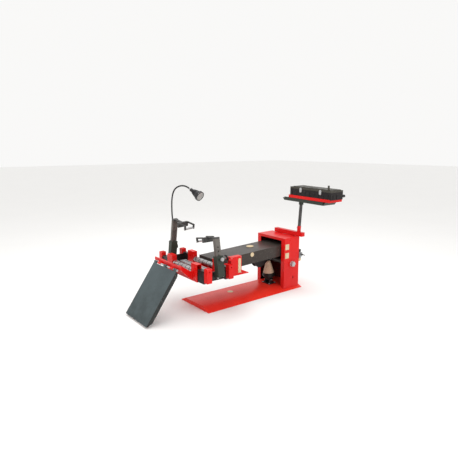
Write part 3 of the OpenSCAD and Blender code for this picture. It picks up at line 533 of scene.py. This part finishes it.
GRIP = [(0.0120, 0), (0.0146, 0.0004), (0.0152, 0.0016), (0.0152, 0.0114), (0.0146, 0.0126), (0.0120, 0.0130)]
for side, s in SIDES:
    many(side + "_clamp_grip", [on_bar(turned((0, -0.0580, 0.140), (0, 1, 0), GRIP, 96, knurled(0.07, 24)), s)],
         "bright_steel", side + "_clamp", 20, round_rows=True)
    many(side + "_holder_welds", [on_bar(weld((x, -0.0225, 0.004), (x, -0.0225, 0.160), size=0.0016), s)
                                   for x in (-0.0305, 0.0305)],
         "green_paint", side + "_head", 60)


# ---------------------------------------------------------------- weld beads
many("pan_welds", [weld((0.893, s * 0.1875, 0.0142), (1.081, s * 0.1875, 0.0142)) for s in (-1, 1)] +
     [weld((0.888, s * 0.146, 0.032), (0.888, s * 0.186, 0.0140)) for s in (-1, 1)] +
     [weld((1.0865, -0.134, 0.037), (1.0865, 0.134, 0.037))], "red_paint", "base", 60)
many("tower_boss_welds", [swept([(0.990 + 0.0395 * math.cos(t), s * 0.1885, 0.250 + 0.0395 * math.sin(t))
                                 for t in np.linspace(0, TAU, 150, endpoint=False)],
                                0.0028 + 0.0005 * np.abs(np.sin(np.arange(150) * 1.05)), 8, True) for s in (-1, 1)],
     "red_paint", "base", 60, round_rows=True)
many("arm_welds", [weld((0.1405, s * 0.1322, 0.306), (0.1405, s * 0.1322, 0.388)) for s in (-1, 1)] +
     [weld((0.1405, -0.130, 0.4080), (0.1405, 0.130, 0.4080), size=0.0026),
      weld((0.655, 0.0312, 0.3212), (0.885, 0.0312, 0.3292), size=0.0026),
      weld((0.655, -0.0312, 0.3212), (0.885, -0.0312, 0.3292), size=0.0026)], "arm_paint", "arm", 60)
many("carriage_welds", [weld((s * 0.0822, 0.138, 0.3015), (s * 0.0822, -0.138, 0.3015)) for s in (-1, 1)] +
     [weld((-0.1285, s * 0.1562, 0.301), (-0.1285, s * 0.1562, 0.364), size=0.0026) for s in (-1, 1)],
     "red_paint", "arm", 60)
for side, s in SIDES:
    many(side + "_head_welds",
         [weld((x, s * 0.3322, z), (x, s * 0.3322, z2), size=0.0027)
          for x, z, z2 in ((-0.0835, 0.320, 0.388), (0.0835, 0.320, 0.388),
                           (-0.0315, 0.355, 0.387), (0.0315, 0.355, 0.387))],
         "black_paint", side + "_head", 60)

# ---------------------------------------------------------------- bolts, tie rods, washers
bolts("clevis_bolts", [(0.870 + x, y, 0.043) for x in (-0.036, 0.036) for y in (-0.045, 0.045)],
      (0, 0, 1), "base", 0.007)
bolts("rail_bolts", [(1.091, y, z) for y in (-0.095, 0.085) for z in (0.452, 0.490)], (1, 0, 0), "base", 0.007)
bolts("air_unit_bolts", [(1.092, y, z) for y in (-0.1905, -0.1395) for z in (0.306, 0.334)],
      (1, 0, 0), "base", 0.003)
for side, s in SIDES:
    bolts(side + "_cap_nuts", [(x, s * 0.184, BARREL_Z + z) for x in (-0.025, 0.025) for z in (-0.025, 0.025)],
          (0, s, 0), "arm", 0.0055)
    bolts(side + "_plate_bolts", [(x, s * 0.332, z) for x in (-0.062, 0.062) for z in (0.337, 0.372)],
          (0, s, 0), side + "_head", 0.006)
bolts("shelf_bolts", [(x, -0.137, 0.345) for x in (0.165, 0.240, 0.315)], (0, -1, 0), "arm", 0.006)
many("tie_rods", [swept(line((x, -0.1705, BARREL_Z + z), (x, 0.1705, BARREL_Z + z), pitch=0.02), 0.0038, 14)
                  for x in (-0.0265, 0.0265) for z in (-0.0265, 0.0265)], "bright_steel", "arm")
collar = [(0.0081, 0), (0.0135, 0), (0.0142, 0.0006), (0.0142, 0.0036), (0.0135, 0.0042), (0.0081, 0.0042)]
many("roller_collars", [turned((x, s * 0.1432, ROLLER_Z), (0, s, 0), collar, 36)
                        for x in (-ROLLER_X, ROLLER_X) for s in (-1, 1)],
     "bright_steel", "arm", round_rows=True)
many("blank_switch_tabs", [pillow((0.229, -0.3245, z), (0.0085, 0.0026, 0.0105), 5)
                           for z in (0.346, 0.379, 0.412, 0.445)],
     "pale_plastic", "arm")
rivet = [(0, 0), (0.0035, 0), (0.0032, 0.0012), (0.0018, 0.0019), (0, 0.0021)]
many("box_rivets", [turned((x, -0.3221, z), (0, -1, 0), rivet, 20) for x in (0.152, 0.248) for z in (0.332, 0.464)],
     "bright_steel", "arm")
plug = [(0, 0), (0.0093, 0.0004), (0.0098, 0.001), (0.0098, 0.0062), (0.0125, 0.0064), (0.0128, 0.0074),
        (0.011, 0.0088), (0, 0.0094)]
many("hose_hole_plug", [turned((1.0800, 0.100, 0.120), (1, 0, 0), plug, 36)], "black_rubber", "base")

# ---------------------------------------------------------------- latches, ribs and grips on the tool box
LATCH_Y = (-0.29, -0.06)
origin = np.array([1.089, -0.172 - 0.344 * math.sin(POST_LEAN), 0.507 + 0.344 * math.cos(POST_LEAN)])


def on_tray(points):
    """Points of the nearly level tray moved to their place: turned 1 degree about X, then shifted."""
    p = np.asarray(points, float)
    c, d = math.cos(TRAY_TILT), math.sin(TRAY_TILT)
    y, z = p[..., 1] * c - p[..., 2] * d, p[..., 1] * d + p[..., 2] * c
    return np.stack([p[..., 0], y, z], -1) + origin


many("box_latches", [on_tray(pillow((-0.0835, y, 0.112), (0.0028, 0.013, 0.020), 5)) for y in LATCH_Y] +
     [on_tray(pillow((-0.0865, y, 0.108), (0.0022, 0.009, 0.010), 4)) for y in LATCH_Y], "bright_steel", "tray")
many("lid_hasps", [on_tray(pillow((-0.0835, y, 0.1305), (0.0024, 0.0085, 0.0045), 4)) for y in LATCH_Y],
     "bright_steel", "lid")
many("box_ribs", [on_tray(pillow((-0.0822, y, 0.082), (0.0022, 0.004, 0.022), 4))
                  for y in np.linspace(-0.375, 0.045, 9)] +
     [on_tray(pillow((x, -0.4098, 0.082), (0.004, 0.0022, 0.022), 4)) for x in (-0.05, 0.0)], "black_paint", "tray")
many("tray_lips", [on_tray(swept(line(a, b, pitch=0.01), 0.0024, 12)) for a, b in
                   (((-0.078, -0.329, 0.0302), (-0.078, 0.146, 0.0302)),
                    ((0.078, -0.329, 0.0302), (0.078, 0.146, 0.0302)))],
     "green_paint", "tray")
knob = [(0.0105, 0), (0.0124, 0.0005), (0.0130, 0.002), (0.0130, 0.014), (0.0124, 0.0155), (0.0105, 0.016)]
many("box_knob_grip", [on_tray(turned((x, -0.385, 0.079), (1, 0, 0), knob, 80, knurled(0.08, 20)))
                       for x in (0.0950, 0.1160)],
     "black_plastic", "box_knob", 20, round_rows=True)
many("lid_ribs", [on_tray(pillow((0.0, y, 0.1425), (0.060, 0.004, 0.0018), 6)) for y in np.linspace(-0.36, 0.0, 6)],
     "olive_paint", "lid")

# ---------------------------------------------------------------- floor
floor_mesh = bpy.data.meshes.new("floor")
REACH, DROP = 30, -0.0006                 # half width of the floor, and how far it lies under the feet
floor_mesh.from_pydata([(-REACH, -REACH, DROP), (REACH, -REACH, DROP), (REACH, REACH, DROP), (-REACH, REACH, DROP)],
                       [], [(0, 1, 2, 3)])
floor_mesh.materials.append(plain_floor("studio_floor"))
floor = bpy.data.objects.new("floor", floor_mesh)
bpy.context.scene.collection.objects.link(floor)
